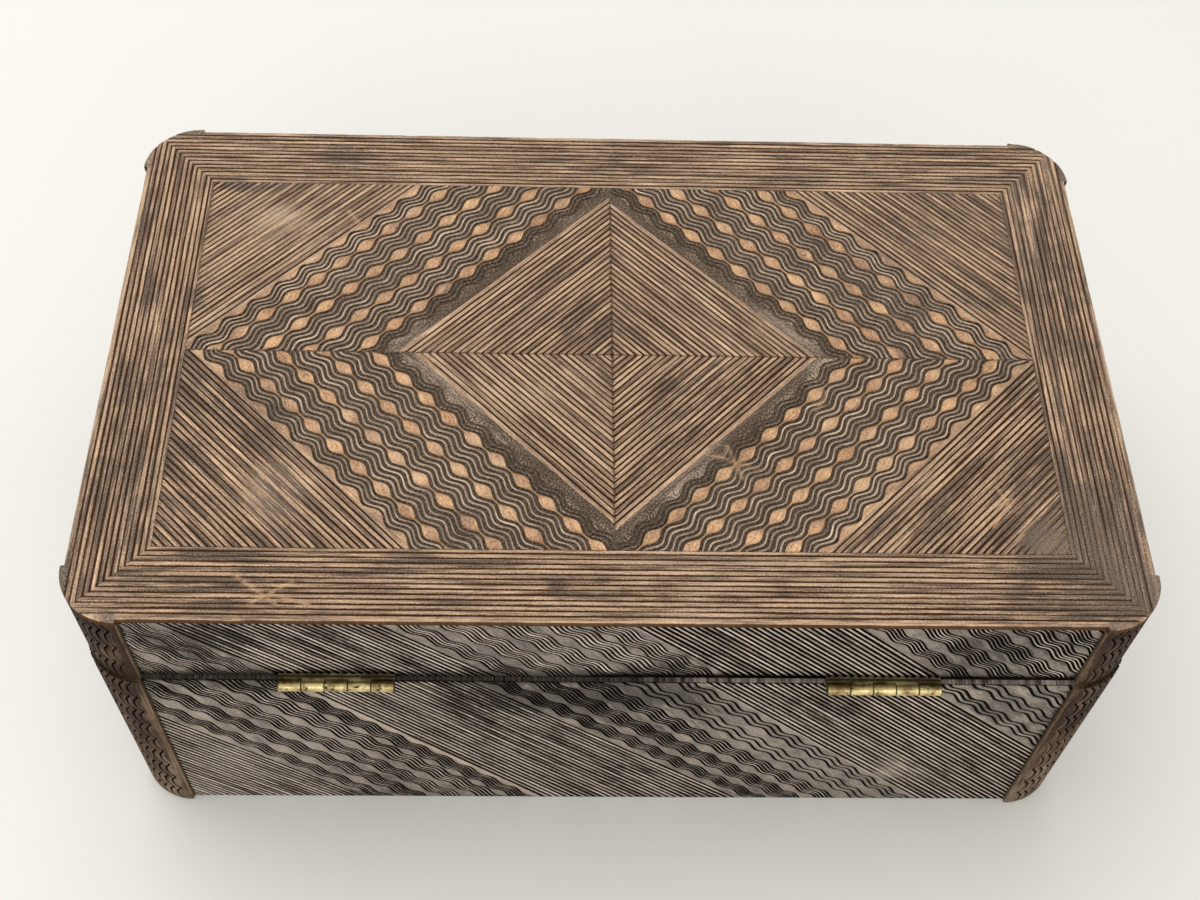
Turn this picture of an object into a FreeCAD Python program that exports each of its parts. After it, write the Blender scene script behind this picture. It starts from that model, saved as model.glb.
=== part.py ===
import FreeCAD, Part
import math
import os

# Carved wooden box with a hinged lid. Sizes are in millimetres.
# X runs along the hinges, the hinge side (back) faces -Y, Z goes up from the base.

# Whole box, over the carved faces
face_width = 300.0
face_depth = 181.0
case_height = 86.5
lid_height = 34.5
seam_gap = 0.4
lid_set_back = 1.4

# Walls: plain boards behind carved facings, held by rounded corner posts
board_thickness = 8.0
facing_thickness = 3.0
post_radius = 17.3
post_proud = 1.5

# Base and top
base_board_thickness = 6.0
top_board_thickness = 6.0
rebate_width = 4.0
top_facing_thickness = 2.5
top_overhang = 0.4
border_width = 22.0

# Carved bands of the lid's field, measured across their slant from the field's middle
band_start = 44.0
band_end = 91.2
band_depth = 0.35
rib_count = 4
rib_pitch = 10.0
rib_width = 1.0
rib_side = 1.2

# Butt hinges
hinge_end_distance = 71.5
hinge_length = 33.0
hinge_stand_off = 1.8
knuckle_count = 5
knuckle_radius = 1.6
knuckle_gap = 0.2
pin_radius = 0.7
pin_clearance = 0.05
leaf_width = 12.5
leaf_thickness = 1.0
leaf_clearance = 0.1

# Countersunk hinge screws
screw_count = 2
screw_spacing = 20.0
screw_inset = 3.5
screw_head_radius = 2.0
screw_shank_radius = 1.1
screw_length = 9.0
screw_slot_width = 0.5
screw_slot_depth = 0.4
screw_clearance = 0.1

# How far a cut runs past the face it opens
overrun = 2.0

half_width = face_width / 2
half_depth = face_depth / 2
wall_thickness = board_thickness + facing_thickness
post_reach = post_radius - post_proud
box_height = case_height + lid_height
case_rim = case_height - seam_gap / 2
lid_rim = case_height + seam_gap / 2
lid_wall_top = box_height - top_facing_thickness
axis_y = -half_depth - hinge_stand_off
knuckle_length = (hinge_length - (knuckle_count - 1) * knuckle_gap) / knuckle_count

Vec = FreeCAD.Vector
origin = Vec(0, 0, 0)
along_x = Vec(1, 0, 0)
up_z = Vec(0, 0, 1)

# Sides in the order met when turning about Z: half the run, half the distance across
sides = {
    "back": (half_width, half_depth),
    "right": (half_depth, half_width),
    "front": (half_width, half_depth),
    "left": (half_depth, half_width),
}
quarter_turn_angle = 90
corners = {
    "back_left": (-1, -1),
    "back_right": (1, -1),
    "front_left": (-1, 1),
    "front_right": (1, 1),
}
hinge_place = half_width - hinge_end_distance
hinge_centres = {"left": -hinge_place, "right": hinge_place}


def block(x_span, y_span, z_span):
    low = [min(span) for span in (x_span, y_span, z_span)]
    high = [max(span) for span in (x_span, y_span, z_span)]
    return Part.makeBox(*[b - a for a, b in zip(low, high)], Vec(*low))


def prism(edges, height):
    return Part.Face(Part.Wire(edges)).extrude(up_z * height)


def lines(points):
    return [Part.makeLine(a, b) for a, b in zip(points, points[1:])]


def turned(shape, turns):
    shape = shape.copy()
    shape.rotate(origin, up_z, quarter_turn_angle * turns)
    return shape


def moved(shape, x, y, z):
    shape = shape.copy()
    shape.translate(Vec(x, y, z))
    return shape


def wall_board(half_run, half_span, z_span):
    end = half_run - wall_thickness
    outside = half_span - facing_thickness
    return block((-end, end), (-outside, wall_thickness - half_span), z_span)


def wall_facing(half_run, half_span, z_span):
    end = half_run - post_reach
    return block((-end, end), (-half_span, facing_thickness - half_span), z_span)


def corner_post(sign_x, sign_y, z_span):
    """Quarter-round post, rebated for the two boards and shouldered for the facings."""
    low, high = z_span

    def at(x, y):
        return Vec(sign_x * (half_width + x), sign_y * (half_depth + y), low)

    bulge = post_radius * math.sqrt(0.5) - post_reach
    outline = [
        at(-post_reach, post_proud),
        at(-post_reach, -facing_thickness),
        at(-wall_thickness, -facing_thickness),
        at(-wall_thickness, -wall_thickness),
        at(-facing_thickness, -wall_thickness),
        at(-facing_thickness, -post_reach),
        at(post_proud, -post_reach),
    ]
    round_face = Part.Arc(outline[-1], at(bulge, bulge), outline[0]).toShape()
    return prism(lines(outline) + [round_face], high - low)


def border_strip(half_run, half_span):
    """Mitred strip of the lid's border, its ends following the rounded posts."""

    def at(sign, x, y):
        return Vec(sign * (half_run + x), -half_span - y, lid_wall_top)

    def on_round(sign, angle):
        reach = math.radians(angle)
        out_x = post_radius * math.sin(reach) - post_reach
        out_y = post_radius * math.cos(reach) - post_reach
        return at(sign, out_x, out_y)

    def half_round(sign):
        return Part.Arc(on_round(sign, 45), on_round(sign, 22.5), on_round(sign, 0)).toShape()

    inside = [on_round(-1, 45), at(-1, -border_width, -border_width)]
    inside += [at(1, -border_width, -border_width), on_round(1, 45)]
    outside = [on_round(1, 0), at(1, -post_reach, top_overhang)]
    outside += [at(-1, -post_reach, top_overhang), on_round(-1, 0)]
    edges = lines(inside) + [half_round(1)] + lines(outside) + [half_round(-1)]
    return prism(edges, top_facing_thickness)


def carved_band(sign_x, sign_y):
    """What a quarter's slanting carved band takes away, less the ribs of its rows of lozenges."""
    across = Vec(sign_x, sign_y, 0) * math.sqrt(0.5)
    along = Vec(sign_x, -sign_y, 0) * math.sqrt(0.5)

    def strip(middle, half_top, half_floor):
        start = across * middle - along * half_width + up_z * box_height
        floor = start - up_z * band_depth
        top = [start + across * half_top, start - across * half_top]
        bottom = [floor - across * half_floor, floor + across * half_floor]
        outline = top + bottom + top[:1]
        return Part.Face(Part.makePolygon(outline)).extrude(along * face_width)

    middle = (band_start + band_end) / 2
    half_band = (band_end - band_start) / 2
    first_rib = middle - (rib_count - 1) * rib_pitch / 2
    ribs = []
    for index in range(rib_count):
        ribs.append(strip(first_rib + index * rib_pitch, rib_width / 2, rib_width / 2 + rib_side))
    return strip(middle, half_band, half_band - rib_side).cut(ribs)


def hinge_leaf(centre, side, first_knuckle):
    """Flat leaf with its share of the knuckles; side is 1 above the axis, -1 below it."""
    face = case_height + side * seam_gap / 2
    z_span = (face, face + side * leaf_thickness)
    start = centre - hinge_length / 2
    leaf = block((start, start + hinge_length), (axis_y, axis_y + leaf_width), z_span)
    own = []
    for index in range(knuckle_count):
        x = start + index * (knuckle_length + knuckle_gap)
        if index % 2 == first_knuckle:
            foot = Vec(x, axis_y, case_height)
            own.append(Part.makeCylinder(knuckle_radius, knuckle_length, foot, along_x))
            continue
        notch_x = (x - knuckle_gap, x + knuckle_length + knuckle_gap)
        notch_y = (axis_y - overrun, axis_y + knuckle_radius + knuckle_gap)
        leaf = leaf.cut(block(notch_x, notch_y, (face - overrun, face + overrun)))
    leaf = leaf.fuse(own).removeSplitter()
    bore_start = Vec(start - overrun, axis_y, case_height)
    bore_length = hinge_length + overrun + overrun
    return leaf.cut(Part.makeCylinder(pin_radius + pin_clearance, bore_length, bore_start, along_x))


def leaf_seat(centre, side):
    face = case_height + side * seam_gap / 2
    half = hinge_length / 2 + leaf_clearance
    y_span = (axis_y, axis_y + leaf_width + leaf_clearance)
    return block((centre - half, centre + half), y_span, (face - side * overrun, face + side * leaf_thickness))


def screw_body(spare):
    """Countersunk screw hanging below the XY plane, grown by spare for its hole."""
    head = screw_head_radius + spare
    shank = screw_shank_radius + spare
    profile = [
        origin,
        Vec(head, 0, 0),
        Vec(shank, 0, shank - head),
        Vec(shank, 0, -screw_length - spare),
        Vec(0, 0, -screw_length - spare),
        origin,
    ]
    return Part.Face(Part.makePolygon(profile)).revolve(origin, up_z, 360)


def at_screws(shape, centre, side):
    """Copies of a screw shape at a leaf's holes, heads at the leaf's open face."""
    placed = []
    for index in range(screw_count):
        copy = shape.copy()
        if side > 0:
            copy.rotate(origin, along_x, 180)
        x = centre + (index - (screw_count - 1) / 2) * screw_spacing
        placed.append(moved(copy, x, axis_y + leaf_width - screw_inset, case_height + side * seam_gap / 2))
    return placed


pieces = {}


def build_walls(name, z_span, y_shift, panel):
    """Boards, facings and posts of the case or the lid around its rebated panel."""
    for turns, (side, (half_run, half_span)) in enumerate(sides.items()):
        board = turned(wall_board(half_run, half_span, z_span), turns).cut(panel)
        facing = turned(wall_facing(half_run, half_span, z_span), turns)
        pieces[f"{name}_{side}_board"] = moved(board, 0, y_shift, 0)
        pieces[f"{name}_{side}_facing"] = moved(facing, 0, y_shift, 0)
    for corner, signs in corners.items():
        post = corner_post(*signs, z_span).cut(panel)
        pieces[f"{name}_post_{corner}"] = moved(post, 0, y_shift, 0)


panel_x = half_width - wall_thickness + rebate_width
panel_y = half_depth - wall_thickness + rebate_width

base_board = block((-panel_x, panel_x), (-panel_y, panel_y), (0, base_board_thickness))
pieces["case_base_board"] = base_board
build_walls("case", (0, case_rim), 0, base_board)

top_board_span = (lid_wall_top - top_board_thickness, lid_wall_top)
top_board = block((-panel_x, panel_x), (-panel_y, panel_y), top_board_span)
pieces["lid_top_board"] = moved(top_board, 0, lid_set_back, 0)
build_walls("lid", (lid_rim, lid_wall_top), lid_set_back, top_board)

for turns, (side, (half_run, half_span)) in enumerate(sides.items()):
    strip = turned(border_strip(half_run, half_span), turns)
    pieces[f"lid_border_{side}"] = moved(strip, 0, lid_set_back, 0)
for corner, (sign_x, sign_y) in corners.items():
    quarter_x = (0, sign_x * (half_width - border_width))
    quarter_y = (0, sign_y * (half_depth - border_width))
    quarter = block(quarter_x, quarter_y, (lid_wall_top, box_height)).cut(carved_band(sign_x, sign_y))
    pieces[f"lid_quarter_{corner}"] = moved(quarter, 0, lid_set_back, 0)

# Leaves let into the two rims, each held by its own screws
slot_length = screw_head_radius + screw_head_radius
slot_x = (-slot_length, slot_length)
slot_y = (-screw_slot_width / 2, screw_slot_width / 2)
screw = screw_body(0).cut(block(slot_x, slot_y, (-screw_slot_depth, overrun)))
screw_hole = screw_body(screw_clearance)
for body, side, first_knuckle in (("case", -1, 0), ("lid", 1, 1)):
    screws = []
    for hand, centre in hinge_centres.items():
        holes = at_screws(screw_hole, centre, side)
        pieces[f"hinge_{hand}_{body}_leaf"] = hinge_leaf(centre, side, first_knuckle).cut(holes)
        for layer in ("board", "facing"):
            wall = f"{body}_back_{layer}"
            pieces[wall] = pieces[wall].cut([leaf_seat(centre, side)] + holes)
        screws += at_screws(screw, centre, side)
    pieces[f"hinge_{body}_screws"] = Part.makeCompound(screws)
for hand, centre in hinge_centres.items():
    pin_start = Vec(centre - hinge_length / 2, axis_y, case_height)
    pieces[f"hinge_{hand}_pin"] = Part.makeCylinder(pin_radius, hinge_length, pin_start, along_x)

os.makedirs("parts", exist_ok=True)
for name, shape in pieces.items():
    shape.exportStep(f"parts/{name}.step")
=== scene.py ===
from collections import namedtuple
from itertools import product
from math import cos, exp, hypot, pi, radians, sin, sqrt

import bmesh
import bpy
from mathutils import Matrix, Vector, geometry, noise


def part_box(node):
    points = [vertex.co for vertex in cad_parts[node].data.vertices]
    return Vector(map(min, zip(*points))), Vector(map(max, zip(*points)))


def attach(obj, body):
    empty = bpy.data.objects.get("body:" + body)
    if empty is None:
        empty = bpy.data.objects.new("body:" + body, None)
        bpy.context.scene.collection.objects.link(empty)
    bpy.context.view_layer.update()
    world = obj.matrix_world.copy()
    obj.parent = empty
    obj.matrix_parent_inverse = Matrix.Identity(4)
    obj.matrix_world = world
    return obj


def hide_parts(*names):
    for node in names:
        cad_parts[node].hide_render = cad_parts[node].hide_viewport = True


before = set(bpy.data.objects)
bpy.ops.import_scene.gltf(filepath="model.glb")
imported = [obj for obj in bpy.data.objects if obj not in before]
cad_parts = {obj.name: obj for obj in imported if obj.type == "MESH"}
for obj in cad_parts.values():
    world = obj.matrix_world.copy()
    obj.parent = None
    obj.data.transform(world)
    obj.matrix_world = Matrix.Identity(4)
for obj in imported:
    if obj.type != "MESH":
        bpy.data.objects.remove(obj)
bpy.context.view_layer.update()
scene = bpy.context.scene
mm = 0.001
root2 = sqrt(2.0)
print("frame loaded:", len(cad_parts), "nodes")


def steady(*place):
    # the same hand-made unevenness in every run
    return noise.noise(Vector(place))


def uneven(play, a, b, seed=0):
    # play holds its amount, its pace in both directions and its own seed
    amount, paceA, paceB, shift = play
    return amount * steady(a * paceA, b * paceB, seed + shift)


def addObject(name, data):
    thing = bpy.data.objects.new(name, data)
    scene.collection.objects.link(thing)
    return thing


def meshData(name, mesh):
    data = bpy.data.meshes.new(name)
    mesh.to_mesh(data)
    mesh.free()
    return data


def seedOf(look, number):
    return look["seed"][0] * number + look["seed"][1]


def boxOf(node):
    return [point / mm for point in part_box(node)]


# small helpers for shader trees

def addNode(tree, kind, sockets=None, **settings):
    node = tree.nodes.new(kind)
    for key, value in settings.items():
        setattr(node, key, value)
    for key, value in (sockets or {}).items():
        if isinstance(value, bpy.types.NodeSocket):
            tree.links.new(value, node.inputs[key])
        else:
            node.inputs[key].default_value = value
    return node


def newGroup(name, inputs, outputs):
    tree = bpy.data.node_groups.new(name, "ShaderNodeTree")
    for label, value in inputs.items():
        kind = "NodeSocketVector" if isinstance(value, tuple) else "NodeSocketFloat"
        tree.interface.new_socket(label, in_out="INPUT", socket_type=kind).default_value = value
    for label in outputs:
        tree.interface.new_socket(label, in_out="OUTPUT", socket_type="NodeSocketFloat")
    return tree, tree.nodes.new("NodeGroupInput").outputs, tree.nodes.new("NodeGroupOutput").inputs


def useGroup(tree, group, sockets):
    return addNode(tree, "ShaderNodeGroup", sockets, node_tree=group).outputs


def maths(tree, operation, first, second=0.0):
    return addNode(tree, "ShaderNodeMath", {0: first, 1: second}, operation=operation).outputs[0]


def ramp(tree, value, low, high, toLow=0.0, toHigh=1.0):
    sockets = {"Value": value, "From Min": low, "From Max": high, "To Min": toLow, "To Max": toHigh}
    return addNode(tree, "ShaderNodeMapRange", sockets, interpolation_type="SMOOTHSTEP").outputs["Result"]


def mix(tree, amount, first, second, blend="MIX"):
    sockets = {0: amount, 6: first, 7: second}
    return addNode(tree, "ShaderNodeMix", sockets, data_type="RGBA", blend_type=blend).outputs[2]


def cover(tree, base, tint, amount, strength):
    return mix(tree, maths(tree, "MULTIPLY", amount, strength), base, tint)


def noiseAt(tree, vector, scale, detail=3.0, roughness=0.55):
    sockets = {"Vector": vector, "Scale": scale, "Detail": detail, "Roughness": roughness}
    return addNode(tree, "ShaderNodeTexNoise", sockets).outputs["Fac"]


def stretched(tree, vector, scale):
    return addNode(tree, "ShaderNodeMapping", {"Vector": vector, "Scale": scale}).outputs["Vector"]


def attribute(tree, name):
    return addNode(tree, "ShaderNodeAttribute", attribute_name=name).outputs["Fac"]


def ownSpace(tree):
    return addNode(tree, "ShaderNodeTexCoord").outputs["Object"]


def colour(red, green, blue):
    # sRGB bytes to the linear colour that sockets hold
    parts = [c / 255 for c in (red, green, blue)]
    return [c / 12.92 if c <= 0.04045 else ((c + 0.055) / 1.055) ** 2.4 for c in parts] + [1.0]


def tints(look):
    return {key: colour(*value) for key, value in look.items() if isinstance(value, tuple) and len(value) == 3}


# shared effects

# scale, detail and roughness of fine and broad streaks, the fine share, and the range spread to 0..1
streakLook = {"fine": (2.8, 4.0, 0.65), "broad": (0.5, 3.0, 0.55), "fineShare": 0.65, "spread": (0.36, 0.64)}
# the other noises: stretch, scale, detail, roughness, and the range spread to 0..1
grainLook = {
    "Ridge": ((0.03, 0.6, 1.0), 1.0, 4.0, 0.7, 0.34, 0.66),
    "Patch": ((0.09, 0.14, 1.0), 1.0, 4.0, 0.65, 0.34, 0.64),
    "Pores": ((0.5, 1.8, 1.0), 1.6, 2.0, 0.5, 0.6, 0.74),
    "Speckle": ((1.0, 1.5, 1.0), 1.7, 4.0, 0.85, 0.3, 0.7),
}


def buildGrain():
    # streaks along a line, tone from ridge to ridge, slow patches, pores and speckle, from millimetres
    inputs = {"Coordinates": (0, 0, 0), "Stretch": 0.06}
    tree, given, result = newGroup("woodGrain", inputs, ("Streak", *grainLook))
    scale = addNode(tree, "ShaderNodeCombineXYZ", {0: given["Stretch"], 1: 1.0, 2: 1.0}).outputs[0]
    along = stretched(tree, given["Coordinates"], scale)
    share = streakLook["fineShare"]
    fine = maths(tree, "MULTIPLY", noiseAt(tree, along, *streakLook["fine"]), share)
    broad = maths(tree, "MULTIPLY", noiseAt(tree, along, *streakLook["broad"]), 1 - share)
    tree.links.new(ramp(tree, maths(tree, "ADD", fine, broad), *streakLook["spread"]), result["Streak"])
    for label, (stretch, size, detail, roughness, low, high) in grainLook.items():
        cloud = noiseAt(tree, stretched(tree, given["Coordinates"], stretch), size, detail, roughness)
        tree.links.new(ramp(tree, cloud, low, high), result[label])
    return tree


# pull of lines and Shade, then detail and roughness of both noises and their ranges
wearAndLightLook = {
    "lines": 0.07, "gather": 0.36, "grimeAndShade": (9.0, 0.72), "grimeAndShadeSpread": (0.52, 0.74),
    "rubAndSheen": (8.0, 0.7), "rubAndSheenSpread": (0.5, 0.74), "apart": (0.31, 0.17, 0.53),
}


def buildWearShadeAndSheen():
    # dark grime and rubbed places, drawn out along the lines and gathered by Shade, which also carries painted shade
    # (darker) and painted sheen (paler)
    tree, given, result = newGroup("wearShadeAndSheen", {"Scale": 60.0, "Shade": 0.0, "Lines": 0.5}, ("GrimeAndShade", "RubAndSheen"))
    place = ownSpace(tree)
    lines = ramp(tree, given["Lines"], 0.0, 1.0, wearAndLightLook["lines"], -wearAndLightLook["lines"])
    gathered = maths(tree, "ADD", lines, maths(tree, "MULTIPLY", given["Shade"], wearAndLightLook["gather"]))
    grimeAndShade = maths(tree, "ADD", noiseAt(tree, place, given["Scale"], *wearAndLightLook["grimeAndShade"]), gathered)
    tree.links.new(ramp(tree, grimeAndShade, *wearAndLightLook["grimeAndShadeSpread"]), result["GrimeAndShade"])
    moved = addNode(tree, "ShaderNodeMapping", {"Vector": place, "Location": wearAndLightLook["apart"]}).outputs["Vector"]
    rubAndSheen = maths(tree, "SUBTRACT", noiseAt(tree, moved, given["Scale"], *wearAndLightLook["rubAndSheen"]), gathered)
    tree.links.new(ramp(tree, rubAndSheen, *wearAndLightLook["rubAndSheenSpread"]), result["RubAndSheen"])
    return tree


woodGrain = buildGrain()
wearShadeAndSheen = buildWearShadeAndSheen()


def newMaterial(name):
    material = bpy.data.materials.new(name)
    material.use_nodes = True
    tree = material.node_tree
    return material, tree, tree.nodes["Principled BSDF"]


def finishSurface(tree, shader, sockets, height, bump):
    normal = addNode(tree, "ShaderNodeBump", {"Height": height, "Strength": 1.0, "Distance": bump})
    for key, socket in {**sockets, "Normal": normal.outputs["Normal"]}.items():
        tree.links.new(socket, shader.inputs[key])


# carved wood

carvedTop = {
    "ridgeDark": (110, 83, 60), "ridgeLight": (222, 184, 148), "crest": (218, 192, 166),
    "lozenge": (218, 170, 122), "lozengeDark": (174, 125, 84), "groove": (74, 48, 28),
    "waveGroove": (52, 40, 31), "waveSpeck": (126, 109, 94), "grimeAndShade": (78, 65, 55),
    "rubAndSheen": (216, 186, 154), "worn": (216, 176, 134), "tan": (216, 172, 122),
    "grimeAndShadeAmount": 0.72, "rubAndSheenAmount": 0.4, "wearScale": 46.0, "rough": (0.34, 0.6), "bump": 0.00018,
    "cutFrom": 0.04, "cutTo": 0.6, "speckle": 0.45, "specular": 1.6,
}
# the hinge side's wood: its pale greyish ridges, crests and lozenges hold a painted sheen as well as the wood's
# colour, and its near-black grooves hold painted shade as well as the dark stain
carvedSideSheenAndShade = {
    "ridgeDark": (152, 134, 117), "ridgeLight": (234, 219, 204), "crest": (222, 208, 194),
    "lozenge": (158, 145, 132), "lozengeDark": (116, 107, 99), "groove": (6, 4, 3),
    "waveGroove": (5, 4, 3), "waveSpeck": (24, 20, 17), "grimeAndShade": (44, 36, 30),
    "rubAndSheen": (184, 172, 160), "worn": (178, 146, 112), "tan": (212, 190, 166),
    "grimeAndShadeAmount": 0.8, "rubAndSheenAmount": 0.35, "wearScale": 34.0, "rough": (0.36, 0.62), "bump": 0.00010,
    "cutFrom": 0.05, "cutTo": 0.55, "speckle": 0.15, "specular": 0.6,
}
carvedPost = {
    **carvedSideSheenAndShade, "ridgeDark": (70, 51, 38), "ridgeLight": (122, 98, 78), "groove": (10, 6, 4), "grimeAndShade": (46, 31, 22),
    "rubAndSheen": (150, 134, 118), "worn": (170, 146, 118), "grimeAndShadeAmount": 0.9, "rubAndSheenAmount": 0.6,
    "rough": (0.5, 0.75), "specular": 0.12,
}
# where the tone turns to crest, lozenge, rim and waved groove, and how grain, pores, wear and polish show
carvedBlend = {
    "stretch": 0.05, "crest": (0.0, 0.5), "lozenge": (0.55, 0.95), "rim": (1.0, 1.5), "waved": (0.1, 0.4),
    "level": (0.0, 2.0, 0.55, 1.25), "pores": 0.45, "waveSpeck": (0.25, 0.85), "worn": (0.1, 0.7, 0.2, 0.9),
    "roughStreak": 0.4, "roughSpread": (0.0, 1.2), "polish": (0.3, 0.85, 0.1, 1.0), "groovePolish": 0.1,
}


def carvedMaterial(name, look):
    material, tree, shader = newMaterial(name)
    tint, blend = tints(look), carvedBlend
    cut, tone, worn, shade = [attribute(tree, key) for key in ("cut", "tone", "worn", "shade")]
    sockets = {0: attribute(tree, "along"), 1: attribute(tree, "across")}
    lines = addNode(tree, "ShaderNodeCombineXYZ", sockets).outputs[0]
    grain = useGroup(tree, woodGrain, {"Coordinates": lines, "Stretch": blend["stretch"]})
    wearAndLight = useGroup(tree, wearShadeAndSheen, {"Scale": look["wearScale"], "Shade": shade, "Lines": grain["Ridge"]})
    ridge = mix(tree, grain["Ridge"], tint["ridgeDark"], tint["ridgeLight"])
    crest = mix(tree, grain["Streak"], tint["ridgeDark"], tint["crest"])
    lens = mix(tree, grain["Patch"], tint["lozengeDark"], tint["lozenge"])
    base = ridge
    for part, over in (("crest", crest), ("lozenge", lens), ("rim", tint["tan"])):
        base = mix(tree, ramp(tree, tone, *blend[part]), base, over)
    level = ramp(tree, maths(tree, "ADD", grain["Streak"], grain["Speckle"]), *blend["level"])
    grey = addNode(tree, "ShaderNodeCombineColor", {0: level, 1: level, 2: level}).outputs[0]
    base = mix(tree, 1.0, base, grey, "MULTIPLY")
    # the rub colour also paints sheen and the grime colour also paints shade, where Shade carries them
    base = cover(tree, base, tint["rubAndSheen"], wearAndLight["RubAndSheen"], look["rubAndSheenAmount"])
    base = cover(tree, base, tint["grimeAndShade"], wearAndLight["GrimeAndShade"], look["grimeAndShadeAmount"])
    base = cover(tree, base, tint["grimeAndShade"], grain["Pores"], blend["pores"])
    # speckle breaks the edge of a groove's dark
    broken = maths(tree, "MULTIPLY", maths(tree, "SUBTRACT", grain["Speckle"], 0.5), -look["speckle"])
    depth = ramp(tree, maths(tree, "ADD", cut, broken), look["cutFrom"], look["cutTo"])
    waved = mix(tree, ramp(tree, grain["Speckle"], *blend["waveSpeck"]), tint["waveGroove"], tint["waveSpeck"])
    groove = mix(tree, ramp(tree, tone, *blend["waved"]), tint["groove"], waved)
    base = mix(tree, depth, base, groove)
    base = cover(tree, base, tint["worn"], worn, ramp(tree, grain["Streak"], *blend["worn"]))
    dull = maths(tree, "ADD", depth, maths(tree, "MULTIPLY", grain["Streak"], blend["roughStreak"]))
    rough = ramp(tree, dull, *blend["roughSpread"], *look["rough"])
    height = maths(tree, "SUBTRACT", grain["Streak"], grain["Pores"])
    # the polish is broken on the ridges and gone from the grooves
    kept = ramp(tree, depth, 0.0, 1.0, 1.0, blend["groovePolish"])
    polish = maths(tree, "MULTIPLY", ramp(tree, grain["Speckle"], *blend["polish"]), kept)
    polish = maths(tree, "MULTIPLY", polish, look["specular"])
    sockets = {"Base Color": base, "Roughness": rough, "Specular IOR Level": polish}
    finishSurface(tree, shader, sockets, height, look["bump"])
    return material


# plain boards

plainBoard = {
    "dark": (112, 84, 60), "light": (150, 117, 86), "rubAndSheen": (172, 142, 112), "grimeAndShade": (70, 52, 38),
    "grimeAndShadeAmount": 0.6, "rubAndSheenAmount": 0.4, "wearScale": 34.0, "stretch": 0.04, "rough": (0.5, 0.66), "bump": 0.00008,
}


def boardMaterial(name, look):
    material, tree, shader = newMaterial(name)
    tint = tints(look)
    lines = stretched(tree, ownSpace(tree), (1 / mm, 1 / mm, 1 / mm))
    grain = useGroup(tree, woodGrain, {"Coordinates": lines, "Stretch": look["stretch"]})
    wearAndLight = useGroup(tree, wearShadeAndSheen, {"Scale": look["wearScale"], "Shade": 0.0, "Lines": grain["Ridge"]})
    base = mix(tree, grain["Streak"], tint["dark"], tint["light"])
    base = cover(tree, base, tint["rubAndSheen"], wearAndLight["RubAndSheen"], look["rubAndSheenAmount"])
    base = cover(tree, base, tint["grimeAndShade"], wearAndLight["GrimeAndShade"], look["grimeAndShadeAmount"])
    rough = ramp(tree, grain["Streak"], 0.0, 1.0, *look["rough"])
    finishSurface(tree, shader, {"Base Color": base, "Roughness": rough}, grain["Streak"], look["bump"])
    return material


# hinges

hingeBarrel = {
    "middle": 0.0785, "length": 0.033, "knuckles": 5, "back": -0.0909, "backRun": 0.0002,
    "jointShare": 0.06, "jointDirt": 0.9,
}
# the last three bounds give a band of painted shade where the hinge meets the wood, in the stain colour
hingeBrass = {
    "bright": (224, 208, 150), "dull": (140, 118, 74), "stainAndShade": (40, 31, 21), "cloudScale": 170.0, "speckScale": 700.0,
    "rough": (0.36, 0.62), "bump": 0.00008, "shadeFrom": -0.0907, "shadeTo": -0.0898, "shadeEnd": -0.0884,
}
hingeSteel = {
    **hingeBrass, "bright": (170, 160, 140), "dull": (110, 100, 84), "stainAndShade": (60, 46, 34), "cloudScale": 500.0,
    "speckScale": 1200.0, "rough": (0.3, 0.6), "bump": 0.00005, "shadeFrom": -0.0916, "shadeTo": -0.0908,
}
# detail and roughness of both noises, and their ranges
metalBlend = {
    "cloud": (4.0, 0.6), "cloudSpread": (0.36, 0.62), "speck": (3.0, 0.65), "speckSpread": (0.54, 0.7),
    "roughCloud": 0.4, "roughSpread": (0.1, 1.1), "metallic": (0.8, 0.5),
}


def knuckleJoints(tree, spread):
    # dark only where one knuckle of a barrel meets the next
    look = hingeBarrel
    run = maths(tree, "SUBTRACT", maths(tree, "ABSOLUTE", spread["X"]), look["middle"] - look["length"] / 2)
    steps = maths(tree, "DIVIDE", run, look["length"] / look["knuckles"])
    near = ramp(tree, maths(tree, "PINGPONG", steps, 0.5), 0.0, look["jointShare"], look["jointDirt"], 0.0)
    onBarrel = ramp(tree, spread["Y"], look["back"], look["back"] + look["backRun"], 1.0, 0.0)
    return maths(tree, "MULTIPLY", near, onBarrel)


def metalMaterial(name, look):
    material, tree, shader = newMaterial(name)
    tint, blend = tints(look), metalBlend
    place = ownSpace(tree)
    spread = addNode(tree, "ShaderNodeSeparateXYZ", {0: place}).outputs
    cloud = noiseAt(tree, place, look["cloudScale"], *blend["cloud"])
    speck = noiseAt(tree, place, look["speckScale"], *blend["speck"])
    base = mix(tree, ramp(tree, cloud, *blend["cloudSpread"]), tint["dull"], tint["bright"])
    # painted shade where the hinge meets the wood, and dark joints between its knuckles
    rise = ramp(tree, spread["Y"], look["shadeFrom"], look["shadeTo"])
    shadeAndJoints = maths(tree, "MULTIPLY", rise, ramp(tree, spread["Y"], look["shadeTo"], look["shadeEnd"], 1.0, 0.0))
    shadeAndJoints = maths(tree, "MAXIMUM", shadeAndJoints, knuckleJoints(tree, spread))
    # speckled stains and the painted shade share one colour
    stainAndShade = maths(tree, "MAXIMUM", ramp(tree, speck, *blend["speckSpread"]), shadeAndJoints)
    base = mix(tree, stainAndShade, base, tint["stainAndShade"])
    dull = maths(tree, "ADD", stainAndShade, maths(tree, "MULTIPLY", cloud, blend["roughCloud"]))
    rough = ramp(tree, dull, *blend["roughSpread"], *look["rough"])
    sockets = {"Base Color": base, "Roughness": rough, "Metallic": ramp(tree, stainAndShade, 0.0, 1.0, *blend["metallic"])}
    finishSurface(tree, shader, sockets, maths(tree, "SUBTRACT", cloud, stainAndShade), look["bump"])
    return material


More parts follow.
